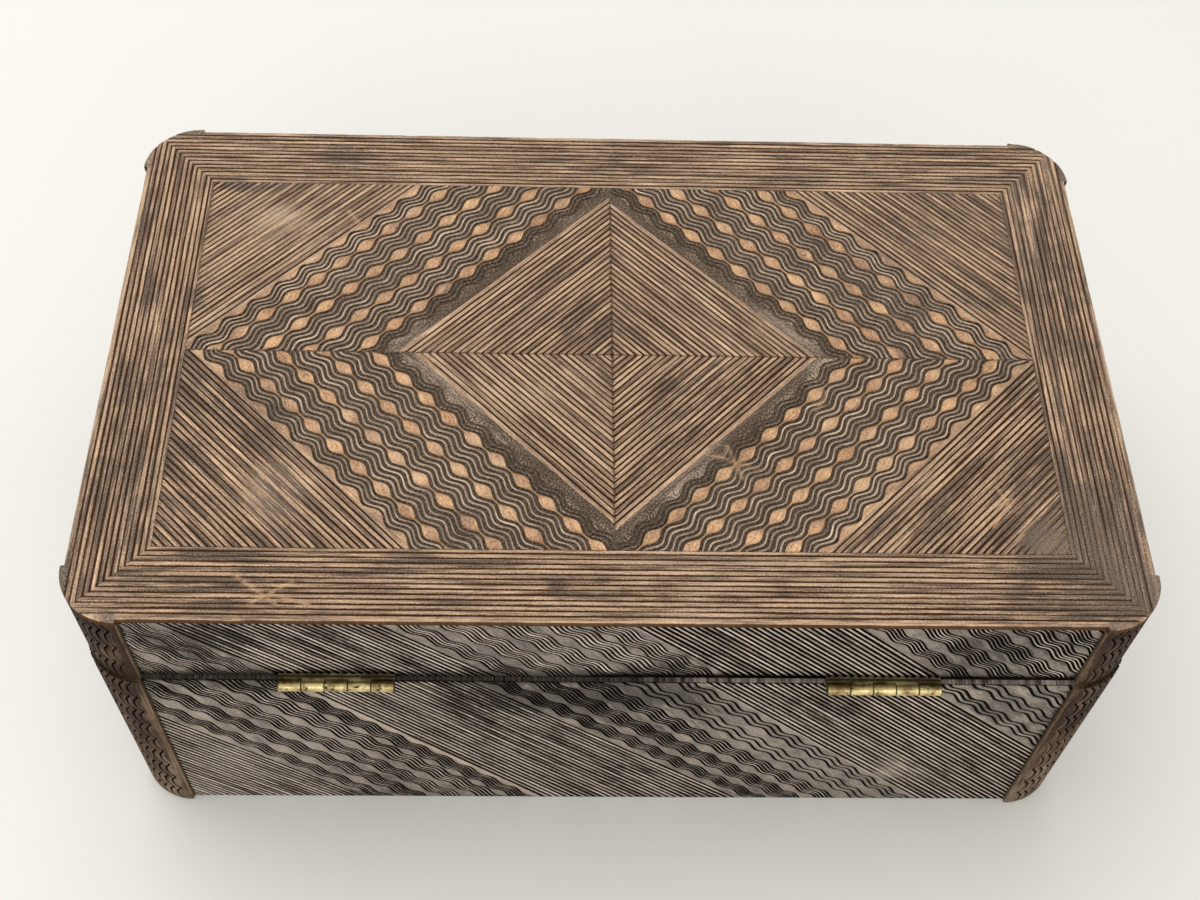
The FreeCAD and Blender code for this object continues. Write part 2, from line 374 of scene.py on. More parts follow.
finishes = {
    "carved_top": carvedMaterial("carvedTop", carvedTop),
    "carved_side": carvedMaterial("carvedSideSheenAndShade", carvedSideSheenAndShade),
    "corner_post": carvedMaterial("carvedPost", carvedPost),
    "plain_board": boardMaterial("plainBoard", plainBoard),
    "hinge_brass": metalMaterial("hingeBrass", hingeBrass),
    "hinge_steel": metalMaterial("hingeSteel", hingeSteel),
}
print("materials made:", ", ".join(finishes))


# grooves: rows at a groove's edge, at both sides of its floor and at its other edge
# tone is 0 on a straight ridge, 0.5 on the crest of a wave, 1 on a lozenge and 1.5 on a rubbed rim

farOff = 1e6
rowDefaults = (0.0, 0.0, 0.0, 0.0, 0.0, -farOff, farOff)
carvedRow = namedtuple("carvedRow", "place depth dark tone swing phase low high", defaults=rowDefaults)

straightComb = {"pitch": 1.63, "groove": 0.72, "floor": 0.4, "depth": 0.42, "play": 0.3}
sideComb = {"pitch": 1.58, "groove": 1.18, "floor": 0.76, "depth": 0.55, "play": 0.15}
topWave = {
    "width": 47.6, "first": 9.5, "spacing": 10.05, "lands": (1.7, 1.7, 1.7, 1.7), "neck": 0.34, "lead": 4.6,
    "trail": 1.5, "grooves": (3, 5, 5, 5, 4), "groove": 1.28, "outerShare": 0.82, "floor": 0.6, "depth": 0.6,
    "crest": 0.05, "play": 0.12, "swing": 0.98, "period": 10.1, "phases": (0.0, 3.14, 0.1, 3.3, 0.15), "flank": 0.1,
    "keep": 0.85, "slant": 0.0, "skew": 0.0, "boldGroove": 1.0, "boldTone": 0.5,
    "bead": 0.7, "sunk": 0.3, "sunkDark": 0.48, "rims": (0.8, 0.8),
}
sideWave = {
    "width": 45.3, "first": 8.6, "spacing": 9.4, "lands": (3.2, 3.0, 2.9, 1.5), "neck": 0.3, "lead": 2.0, "trail": 1.6,
    "grooves": (4, 5, 5, 5, 5), "groove": 1.1, "outerShare": 1.0, "floor": 0.74, "depth": 0.5, "crest": 0.04,
    "play": 0.2, "swing": 0.7, "period": 10.7, "phases": (0.0, 3.6, 0.9, 4.5, 1.9), "flank": 0.3, "keep": 0.5,
    "slant": 0.1, "skew": -0.2, "boldGroove": 1.0, "boldTone": 0.95,
    "bead": 0.8, "sunk": 0.0, "sunkDark": 0.0, "rims": (0.9, 1.3),
}
sideWaves = {
    "fine": sideWave,
    "soft": {**sideWave, "grooves": (5, 6, 6, 6, 6), "groove": 0.88, "rims": (0.9, 0.9)},
    "mixed": {
        **sideWave, "lands": (2.6, 2.8, 3.6, 3.8), "grooves": (5, 6, 5, 3, 3),
        "phases": (0.3, 3.8, 1.0, 4.6, 1.8), "rims": (0.9, 0.9),
    },
    "bold": {**sideWave, "lands": (3.6, 4.0, 4.0, 3.2), "grooves": (3, 3, 3, 3, 2), "rims": (0.9, 0.9)},
}

# pace and seed of the play in a groove's width and depth
groovePlay = ((0.7, 3.3), (0.9, 8.1))
# fewer grooves than this are bold; rows keep a step apart at a land; the rest shapes a band's rims
waveRims = {"bold": 4, "wallStep": 0.12, "inset": 0.05, "beadFall": 0.25, "sunkSpare": 0.1, "width": 0.9}


def grooveRows(middle, look, swing=0.0, phase=0.0, tones=(0.0, 0.0, 0.0), crests=(0.0, 0.0)):
    wide, deep = [1 + look["play"] * steady(middle * pace, seed, phase) for pace, seed in groovePlay]
    half = look["groove"] / 2 * wide
    deep *= look["depth"]
    floor = half * look["floor"]
    return [
        carvedRow(middle - half, crests[0], 0.0, tones[0], swing, phase),
        carvedRow(middle - floor, deep, 1.0, tones[1], swing, phase),
        carvedRow(middle + floor, deep, 1.0, tones[1], swing, phase),
        carvedRow(middle + half, crests[1], 0.0, tones[2], swing, phase),
    ]


def combRows(start, end, comb):
    count = max(1, round((end - start) / comb["pitch"]))
    rows = []
    for index in range(count):
        rows += grooveRows(start + (index + 0.5) * (end - start) / count, comb)
    return rows


def groupRows(start, end, count, phase, wave, walls):
    # grooves from land to land; the outer ones stop short of the lands' middles, so lozenges keep thin necks
    rows = []
    slant = 2 * pi * wave["slant"] / wave["period"]
    bold = count < waveRims["bold"]
    if bold:
        wave = {**wave, "groove": wave["boldGroove"]}
    crest = wave["boldTone"] if bold else 0.5
    for index in range(count):
        middle = start + wave["groove"] / 2 + index / (count - 1) * (end - start - wave["groove"])
        turned = phase + slant * (middle - (start + end) / 2)
        outer = (index == 0, index == count - 1)
        tones = (1.0 if outer[0] else crest, 0.5, 1.0 if outer[1] else crest)
        crests = [0.0 if flush else wave["crest"] for flush in outer]
        rows += grooveRows(middle, wave, wave["swing"], turned, tones, crests)
    low, high = walls[0] + wave["neck"] / 2, walls[1] - wave["neck"] / 2
    step, last = waveRims["wallStep"], len(rows) - 1
    return [row._replace(low=low + step * index, high=high - step * (last - index)) for index, row in enumerate(rows)]


def waveRows(start, wave):
    # neighbouring groups swing opposite ways, so the lands between them swell into lozenges
    lands, end, rims = wave["lands"], start + wave["width"], wave["rims"]
    chains = [start + wave["first"] + index * wave["spacing"] for index in range(len(lands))]
    lows = [start + wave["lead"]] + [chain + land / 2 for chain, land in zip(chains, lands)]
    highs = [chain - land / 2 for chain, land in zip(chains, lands)] + [end - wave["trail"]]
    walls = [start + wave["bead"]] + chains + [end]
    rows = [carvedRow(start + waveRims["inset"], tone=rims[0]), carvedRow(start + wave["bead"], tone=rims[0])]
    if wave["sunk"]:
        ground = (start + wave["bead"] + waveRims["beadFall"], lows[0] - wave["swing"] - waveRims["sunkSpare"])
        rows += [carvedRow(place, wave["sunk"], wave["sunkDark"], 0.5) for place in ground]
    for index, count in enumerate(wave["grooves"]):
        share = wave["outerShare"] if index == len(lands) else 1.0
        look = {**wave, "groove": wave["groove"] * share}
        group = groupRows(lows[index], highs[index], count, wave["phases"][index], look, walls[index:index + 2])
        if wave["sunk"] and index == 0:
            group[0] = group[0]._replace(depth=wave["sunk"], tone=0.5)
            group[:-1] = [row._replace(dark=max(row.dark, wave["sunkDark"])) for row in group[:-1]]
        rows += group
    return rows + [carvedRow(end - inset, tone=rims[1]) for inset in (waveRims["width"], waveRims["inset"])]


# a carved sheet: a grid sheared to the slant of its grooves, trimmed, then given its thickness

sheetGrid = {
    "step": 0.52, "settle": 6, "wobble": (0.10, 0.05, 0.05, 0), "wobbleRow": 0.8, "drift": (0.9, 0.016, 0.016, 0),
    "depthPlay": (0.45, 0.09, 0.9, 5), "cutGain": 1.1, "edgeRun": 0.5, "edgeDrop": 0.12, "edgeDark": 0.5,
    "arris": 0.2, "arrisWorn": 0.12, "sideDarkAndShade": 0.3,
}
grainShift = {"along": 40, "across": 17}  # keeps the grain of neighbouring pieces apart
# start and reach of each strip of the flat map, and of what lies along it
chartPlan = {
    "face": (0.005, 0.885), "near": (0.905, 0.015), "ends": (0.925, 0.015), "far": (0.945, 0.015),
    "back": (0.97, 0.025), "along": (0.01, 0.98), "leftEnd": (0.01, 0.48), "rightEnd": (0.51, 0.48),
}
tiny = 1e-4
smoothAngle = 40


def newGrid(across, along):
    mesh = bmesh.new()
    bmesh.ops.create_grid(mesh, x_segments=across - 1, y_segments=along - 1, size=0.5)
    keys = ("cut", "tone", "worn", "shade", "along", "across")
    return mesh, [mesh.verts.layers.float.new(key) for key in keys]


def setGrain(vert, layers, along, across, seed):
    vert[layers[4]] = along + grainShift["along"] * seed
    vert[layers[5]] = across + grainShift["across"] * seed


def openEdges(mesh):
    return [edge for edge in mesh.edges if edge.is_boundary]


def trim(mesh, point, normal, clear=True):
    geom = mesh.verts[:] + mesh.edges[:] + mesh.faces[:]
    bmesh.ops.bisect_plane(mesh, geom=geom, dist=tiny / 10, plane_co=point, plane_no=normal, clear_outer=clear)


def closeSheet(mesh, thickness, layers, arris, sideDarkAndShade):
    # a narrow ring below the face's edge, then the sides down to the back
    cut, tone, worn = layers[:3]
    for drop in (arris, None):
        made = bmesh.ops.extrude_edge_only(mesh, edges=openEdges(mesh))["geom"]
        for vert in (item for item in made if isinstance(item, bmesh.types.BMVert)):
            vert.co.z = vert.co.z - drop if drop else -thickness
            vert[worn] *= sheetGrid["arrisWorn"] if drop else 0.0
            vert[cut] = sideDarkAndShade
            vert[tone] = 0.0
    bmesh.ops.edgeloop_fill(mesh, edges=openEdges(mesh))


def layOut(mesh, low, high, thickness):
    # flat map for the baked colours: the carved face, then edges and back in strips
    mesh.normal_update()
    chart = mesh.loops.layers.uv.new("OFBake")
    wide, tall = high[0] - low[0], high[1] - low[1]
    for face in mesh.faces:
        normal = face.normal
        back = all(loop.vert.co.z < -thickness + tiny for loop in face.loops)
        side = not back and min(loop.vert.co.z for loop in face.loops) < -thickness + tiny
        for loop in face.loops:
            x = (loop.vert.co.x - low[0]) / wide
            y = (loop.vert.co.y - low[1]) / tall
            z = -loop.vert.co.z / thickness
            run, share, strip, part = "along", x, "face", y
            if back:
                strip = "back"
            elif side and abs(normal.x) > abs(normal.y):
                run, share, strip, part = "rightEnd" if normal.x > 0 else "leftEnd", y, "ends", z
            elif side:
                strip, part = "far" if normal.y > 0 else "near", z
            spans = ((*chartPlan[run], share), (*chartPlan[strip], part))
            loop[chart].uv = [start + reach * at for start, reach, at in spans]


def finishPiece(mesh, name, place, body, slot, nodes, finish=None):
    mesh.transform(place)
    bmesh.ops.recalc_face_normals(mesh, faces=mesh.faces[:])
    data = meshData(name, mesh)
    data.shade_smooth()
    data.set_sharp_from_angle(angle=radians(smoothAngle))
    data.materials.append(finishes[finish or slot])
    piece = addObject(name, data)
    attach(piece, body)
    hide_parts(*nodes)
    print(f"{name}: {len(data.polygons)} faces")


def waveTurn(row, wave, along, across, seed):
    turn = 2 * pi * along / wave["period"] + row.phase + seed
    turn += uneven(sheetGrid["drift"], along, across, seed)
    return turn + wave["skew"] * cos(turn)  # one flank longer than the other


def ease(share):
    share = max(0.0, min(1.0, share))
    return share * share * (3 - 2 * share)


stainEnd = 6  # squared reaches beyond which a stain no longer shows


def stainAt(stains, x, y):
    total = 0.0
    for centreX, centreY, reachX, reachY, amount in stains:
        far = ((x - centreX) / reachX) ** 2 + ((y - centreY) / reachY) ** 2
        if far < stainEnd:
            total += amount * exp(-far)
    return total


def cutNotches(mesh, low, notches):
    for x0, x1, y0, y1 in notches:
        for x in (x0, x1):
            trim(mesh, (x, 0, 0), (1, 0, 0), False)
        trim(mesh, (0, y0 if y0 > low[1] else y1, 0), (0, 1, 0), False)
        inside = []
        for face in mesh.faces:
            centre = face.calc_center_median()
            if x0 < centre.x < x1 and y0 < centre.y < y1:
                inside.append(face)
        bmesh.ops.delete(mesh, geom=inside, context="FACES")


def carvedSheet(rows, field, thickness, seed, fade, stainAndShade, lean, notches=(), paintedShadow=None, scratched=None):
    # rows come with their wave; lean gives where a groove's line is at a height
    low, high = field
    look = sheetGrid
    columns = round((high[1] - low[1]) / look["step"])
    mesh, layers = newGrid(len(rows), columns + 1)
    cut, tone, worn, shade = layers[:4]
    for index, vert in enumerate(mesh.verts):
        row, wave = rows[index % len(rows)]
        b = low[1] + (high[1] - low[1]) * (index // len(rows)) / columns
        a = lean(row.place, b)
        wander = uneven(look["wobble"], a, b, row.place * look["wobbleRow"] + seed)
        if row.swing:
            for _ in range(look["settle"]):
                turn = waveTurn(row, wave, (b - a) / root2, row.place, seed)
                swung = row.place + wander + row.swing * cos(turn)
                a = lean(min(row.high, max(row.low, swung)), b)
            left = 1 - wave["flank"] * (0.5 + 0.5 * sin(turn))
            left *= max(wave["keep"], fade(a, b))
        else:
            a += wander * root2
            left = fade(a, b)
        along = (b - a) / root2
        play = 1 + uneven(look["depthPlay"], along, row.place, seed)
        vert.co = (a, b, -row.depth * left * play)
        # a painted shadow, where given, darkens the place as a groove's cut does
        vert[cut] = min(1.0, max(row.dark * left * play * look["cutGain"], paintedShadow(a, b) if paintedShadow else 0.0))
        vert[tone] = row.tone
        vert[shade] = stainAndShade(a, b)
        vert[worn] = scratched(a, b) if scratched else 0.0
        setGrain(vert, layers, along, row.place, seed)
    trim(mesh, (low[0], 0, 0), (-1, 0, 0))
    trim(mesh, (high[0], 0, 0), (1, 0, 0))
    cutNotches(mesh, low, notches)
    for vert in mesh.verts:
        x, y = vert.co.x, vert.co.y
        gap = min(x - low[0], high[0] - x, y - low[1], high[1] - y)
        if gap < look["edgeRun"]:
            vert.co.z *= max(0.0, gap) / look["edgeRun"]  # grooves run out just before an edge
            vert.co.z -= look["edgeDrop"] * (1 - gap / look["edgeRun"]) ** 2
            vert[cut] = max(vert[cut], look["edgeDark"] * (1 - gap / look["edgeRun"]))
    closeSheet(mesh, thickness, layers, look["arris"], look["sideDarkAndShade"])
    layOut(mesh, low, high, thickness)
    return mesh


# the lid's four field panels

# bandStart is where a quarter's carved band starts, across its slant from the field's middle
quarterPanel = {
    "bandStart": {"back_left": 41.5, "back_right": 43.0, "front_left": 44.8, "front_right": 43.0},
    "inner": -2.0, "outer": 140.0, "seed": (3.7, 1), "left": 0.6, "slow": (1.4, 0.03, 0.03, 31),
}
sides = ("back", "right", "front", "left")
corners = {"back_left": (-1, -1), "back_right": (1, -1), "front_left": (-1, 1), "front_right": (1, 1)}

# dark (positive) and pale (negative) places on the lid's top: x, y, reach in x and y, amount
topStains = [
    (-100, 52, 30, 18, -0.15), (-118, 30, 14, 14, -0.3), (-52, 30, 26, 22, -0.15), (-12, 8, 22, 12, 0.35),
    (-22, -16, 24, 13, -0.5), (70, 45, 30, 20, 0.05), (100, 25, 24, 12, 0.45), (108, 55, 22, 14, 0.35),
    (44, -12, 26, 9, 0.2), (25, -35, 20, 16, 0.12), (28, 18, 24, 14, -0.3), (80, -35, 30, 22, -0.4),
    (110, -52, 22, 14, 0.5), (-112, -20, 20, 16, 0.55), (-100, -50, 26, 14, 0.3), (-62, -40, 28, 18, -0.45),
    (-140, 0, 14, 60, 0.1), (-138, -60, 16, 30, 0.3), (140, 10, 12, 70, 0.45), (138, -60, 18, 26, 0.55),
    (-112, -80, 36, 14, 0.3), (-60, -73, 34, 5, 0.4), (20, -82, 60, 9, -0.4), (124, -80, 26, 14, 0.5),
    (0, 80, 150, 8, 0.1), (-16, -80, 3, 2.4, 0.9), (-4, -78, 4, 1.6, 1.0), (2, -81, 2.4, 1.8, 0.9),
    (14, -82, 3, 2.6, 0.8), (32, -83, 4, 1.6, 0.7), (46, -82, 3, 2, 0.8), (-128, 20, 4, 5, 0.7),
    (-141, 20, 4, 8, 0.8), (-146, -8, 3, 6, 0.8), (-98, -22, 5, 5, 0.6), (-104, -34, 5, 4, 0.6),
    (-120, -36, 5, 4, 0.5), (122, -65, 10, 5, 0.9), (-118, 67, 14, 3, 0.7), (-104, 52, 10, 8, -0.25),
    (-103, 46, 3, 3, 0.8),
]

# carving worn away, as above
topWorn = [
    (-108, -50, 24, 18, 0.42), (108, 50, 22, 16, 0.25), (106, -50, 22, 16, 0.15), (122, -65, 10, 6, 0.5),
    (-104, 52, 9, 7, 0.4),
]

# pale scratches on the lid's top: from x, y to x, y
topScratches = [
    (27, -35, 41, -41), (33, -32, 37, -44), (30, -43, 38, -38), (110, -46, 113, -53), (113, -51, 107, -60),
    (108, -53, 114, -50), (-104, -77, -92, -86), (-99, -86, -88, -79), (-94, -83, -83, -86), (-38, 46, -36, 40),
    (60, -20, 64, -12), (-84, 57, -78, 49),
]
scratchLook = {"reach": 0.42, "amount": 0.95, "span": 10}


def scratchAt(x, y):
    total = 0.0
    for x0, y0, x1, y1 in topScratches:
        if max(abs(x - (x0 + x1) / 2), abs(y - (y0 + y1) / 2)) > scratchLook["span"]:
            continue
        far = geometry.intersect_point_line((x, y, 0), (x0, y0, 0), (x1, y1, 0))
        if 0 < far[1] < 1:
            gap = hypot(far[0].x - x, far[0].y - y)
            total += scratchLook["amount"] * exp(-((gap / scratchLook["reach"]) ** 2))
    return min(1.0, total)


fullDepth = 1.1  # over 1, so that most places keep all their depth


def wearAway(look, seed):
    # how much of the carving's depth is left at a place, by slow noise
    return lambda a, b: max(look["left"], min(1.0, fullDepth - max(0.0, uneven(look["slow"], a, b, seed))))


def buildQuarters():
    look = quarterPanel
    for number, (corner, (signX, signY)) in enumerate(corners.items()):
        node = "lid_quarter_" + corner
        low, high = boxOf(node)
        middleY = low.y if signY > 0 else high.y
        field = ((0.0, 0.0), (high.x - low.x, high.y - low.y))
        start = look["bandStart"][corner]
        rows = [(row, None) for row in combRows(look["inner"], start, straightComb)]
        rows += [(row, topWave) for row in waveRows(start, topWave)]
        rows += [(row, None) for row in combRows(start + topWave["width"], look["outer"], straightComb)]
        seed = seedOf(look, number)
        slow = wearAway(look, seed)
        stainAndShade = lambda a, b: stainAt(topStains, signX * a, signY * b)
        fade = lambda a, b: slow(a, b) - stainAt(topWorn, signX * a, signY * b)
        scratched = lambda a, b: scratchAt(signX * a, signY * b)
        lean = lambda place, b: place * root2 - b
        mesh = carvedSheet(rows, field, high.z - low.z, seed, fade, stainAndShade, lean, scratched=scratched)
        place = Matrix.Scale(mm, 4) @ Matrix.Translation((0, middleY, high.z)) @ Matrix.Diagonal((signX, signY, 1, 1))
        finishPiece(mesh, "quarter_" + corner, place, "lid", "carved_top", [node])


# the carved facings of case and lid, their bands running on across the seam

# bands from left to right: kind, start at half the height, and how far that moves per millimetre up
facingPanel = {
    "case": [
        ("fine", -244, -0.95), ("comb", -182, -0.95), ("fine", -116.5, -0.89), ("comb", -56.6, -0.84),
        ("mixed", 3, -0.98), ("comb", 65.9, -0.9), ("bold", 131.7, -0.98), ("comb", 195, -0.95), ("fine", 260, -0.95),
    ],
    "lid": [
        ("comb", -238, -0.95), ("soft", -172, -0.95), ("comb", -110.3, -0.95), ("soft", -48.3, -1.0),
        ("comb", 19.4, -0.95), ("soft", 82.2, -0.95), ("comb", 146, -0.95), ("soft", 212, -0.95),
    ],
    "overrun": 2, "leafSpare": 0.1, "leafDepth": 1.0, "seed": (5.3, 2),
    "left": 0.35, "slow": (1.4, 0.022, 0.022, 11), "leastLeft": 0.3, "freshLeft": 0.4,
    "cloud": 0.15, "cloudPlay": (0.5, 0.013, 0.02, 21),
    # the seam and rim values paint shade along the lid's lower edge and along the left part of the case's top edge on
    # the hinge side
    "seamShade": 0.9, "seamRun": 3, "rimShade": 1.6, "rimEnd": 20, "rimRun": 40, "rimFade": 0.5,
}
# reach and strength of the painted shadow just above the seam
seamShadowLook = {
    "reach": 2.4, "least": 0.25, "more": 0.65, "rightFrom": -20, "rightRun": 30,
    "hinge": 78.5, "hingeReach": 20, "hingeRun": 5,
}

# dark places and pale (negative) places on the hinge side: stains, painted shade along the top of the lid under the
# border's overhang, and a painted sheen on the left of the case; then places where its carving is worn away
backStainsShadeAndSheen = [
    (-95, 55, 40, 22, -0.5), (-20, 78, 26, 14, 0.7), (20, 70, 30, 18, 0.3), (-118, 108, 22, 12, 0.5),
    (60, 100, 60, 12, 0.1), (125, 70, 14, 30, 0.3), (110, 110, 24, 12, 0.5), (-100, 8, 30, 10, 0.3),
    (-60, 112, 30, 10, 0.3), (80, 40, 30, 24, -0.15), (-110, 82, 40, 7, 0.6), (-45, 60, 22, 22, 0.3),
    (-25, 35, 18, 18, 0.2),
]
backWorn = [
    (100, 18, 40, 24, 0.5), (-112, 34, 22, 14, 0.25), (-60, 12, 30, 12, 0.25), (118, 62, 18, 16, 0.35),
    (-112, 108, 26, 12, 0.2), (66, 62, 9, 12, 0.3), (78, 46, 9, 12, 0.3), (92, 30, 9, 12, 0.25),
]


def facingRows(bands):
    rows = []
    for (kind, start, _), (_, end, _) in zip(bands, bands[1:]):
        if kind == "comb":
            rows += [(row, None) for row in combRows(start / root2, end / root2, sideComb)]
        else:
            wave = sideWaves[kind]
            width = (end - start) / root2
            share = width / wave["width"]
            wave = {**wave, "width": width, "first": wave["first"] * share, "spacing": wave["spacing"] * share}
            rows += [(row, wave) for row in waveRows(start / root2, wave)]
    return rows


def leaning(bands, middle):
    # where a row is at a height, its lean taken from the band edges to either side
    def lean(place, b):
        for (_, start, low), (_, end, high) in zip(bands, bands[1:]):
            if place * root2 < end:
                break
        share = (place * root2 - start) / (end - start)
        return place * root2 + (b - middle) * (low + (high - low) * share)
    return lean


def seamShadow(x, rise):
    # painted shadow: black just above the seam, most of all on the right half and over the hinges
    look = seamShadowLook
    right = ease((x - look["rightFrom"]) / look["rightRun"])
    hinge = ease((look["hingeReach"] - abs(abs(x) - look["hinge"])) / look["hingeRun"])
    return (look["least"] + look["more"] * max(right, hinge)) * exp(-((rise / look["reach"]) ** 2))


def facingWear(body, side, low, high, seed):
    # stain with painted shade, depth left, and painted seam shadow of one facing, by place
    look = facingPanel
    slow = wearAway(look, seed)
    seamShaded = look["seamShade"] if body == "lid" else 0.0
    rimShaded = look["rimShade"] if body == "case" else 0.0

    def stainAndShade(a, b):
        # painted shade along the lid's lower edge
        seam = seamShaded * exp((low - b) / look["seamRun"])
        if side != "back":
            return look["cloud"] + uneven(look["cloudPlay"], a, b, seed) + seam
        # painted shade along the left part of the case's top edge
        rim = ease((look["rimEnd"] - a) / look["rimRun"]) * exp((b - high) / look["rimFade"])
        return stainAt(backStainsShadeAndSheen, a, b) + seam + rimShaded * rim

    def left(a, b):
        if side != "back":
            return slow(a, b)
        return max(look["leastLeft"], min(1.0, look["freshLeft"] + slow(a, b)) - stainAt(backWorn, a, b))

    shadowed = body == "lid" and side == "back"
    return stainAndShade, left, (lambda a, b: seamShadow(a, b - low)) if shadowed else None


def leafNotches(body, edge):
    notches = []
    for hand in ("left", "right"):
        leafLow, leafHigh = boxOf(f"hinge_{hand}_{body}_leaf")
        spare, depth = facingPanel["leafSpare"], facingPanel["leafDepth"]
        notches.append((leafLow.x - spare, leafHigh.x + spare, edge - depth, edge + depth))
    return notches


def buildFacings():
    over = facingPanel["overrun"]
    for body, (turn, side) in product(("case", "lid"), enumerate(sides)):
        node = f"{body}_{side}_facing"
        low, high = boxOf(node)
        spin = Matrix.Rotation(radians(90 * turn), 4, "Z")
        ends = [spin.inverted() @ low, spin.inverted() @ high]
        near = min(end.y for end in ends)  # the outer face looks along -Y before it is turned
        half = abs(ends[0].x - ends[1].x) / 2
        middle = (ends[0].x + ends[1].x) / 2
        thickness = abs(ends[0].y - ends[1].y)
        bands = facingPanel[body]
        lean = leaning(bands, (low.z + high.z) / 2)
        rows = []
        for row, wave in facingRows(bands):
            if lean(row.place + over, low.z) > -half and lean(row.place - over, high.z) < half:
                rows.append((row, wave))
        notches = leafNotches(body, high.z if body == "case" else low.z) if side == "back" else []
        seed = seedOf(facingPanel, turn)
        stainAndShade, fade, paintedShadow = facingWear(body, side, low.z, high.z, seed)
        field = ((-half, low.z), (half, high.z))
        mesh = carvedSheet(rows, field, thickness, seed, fade, stainAndShade, lean, notches, paintedShadow)
        upright = Matrix.Translation((middle, near, 0)) @ Matrix.Rotation(radians(90), 4, "X")
        place = Matrix.Scale(mm, 4) @ spin @ upright
        finishPiece(mesh, f"{body}_{side}_carving", place, body, "carved_side", [node])


# the lid's mitred border

# four values go to the back, right, front and left strip
borderStrip = {
    "comb": {**straightComb, "pitch": 1.6, "depth": 0.4, "groove": 0.74}, "combStart": 0.35, "combEnd": 0.9,
    "lip": (0.7, 0.35, 0.15, 0.0), "lipRun": 0.8, "grooveStart": 0.3, "step": 1.0, "postSpare": 0.05,
    "cornerSteps": 12, "cornerOver": 0.3, "cornerPlanes": 7, "postStep": 1.1, "seed": (4.1, 31),
    "wander": (0.12, 0.03, 0.7, 0), "depthLeft": 0.85, "depthPlay": (0.6, 0.03, 0.8, 3),
    "smooth": (0.35, 0.55, 0.0, 0.15), "smoothMin": 0.35, "smoothFrom": 30, "smoothRun": 40,
    "edgeRun": 0.45, "edgeDrop": 0.25, "chips": 1.1, "chipPlay": ((1.0, 0.12, 3.0, 7.7), (0.5, 0.4, 3.0, 2.2)),
    "chipSpare": 0.2, "chipDrop": 0.6, "rubbed": (0.75, 0.3, 0.25, 0.3), "rubPlay": (0.7, 0.07, 5.0, 4.4),
    "rubStain": 0.7, "rubGain": 1.5, "cornerDirt": 0.6, "dirtRun": 2,
    # the strip's sides are darkened to a painted shade
    "jointRun": 0.4, "jointDrop": 0.12, "arris": 0.25, "sideDarkAndShade": 0.8,
}


def evenly(start, end, count):
    return [start + index * (end - start) / count for index in range(count + 1)]


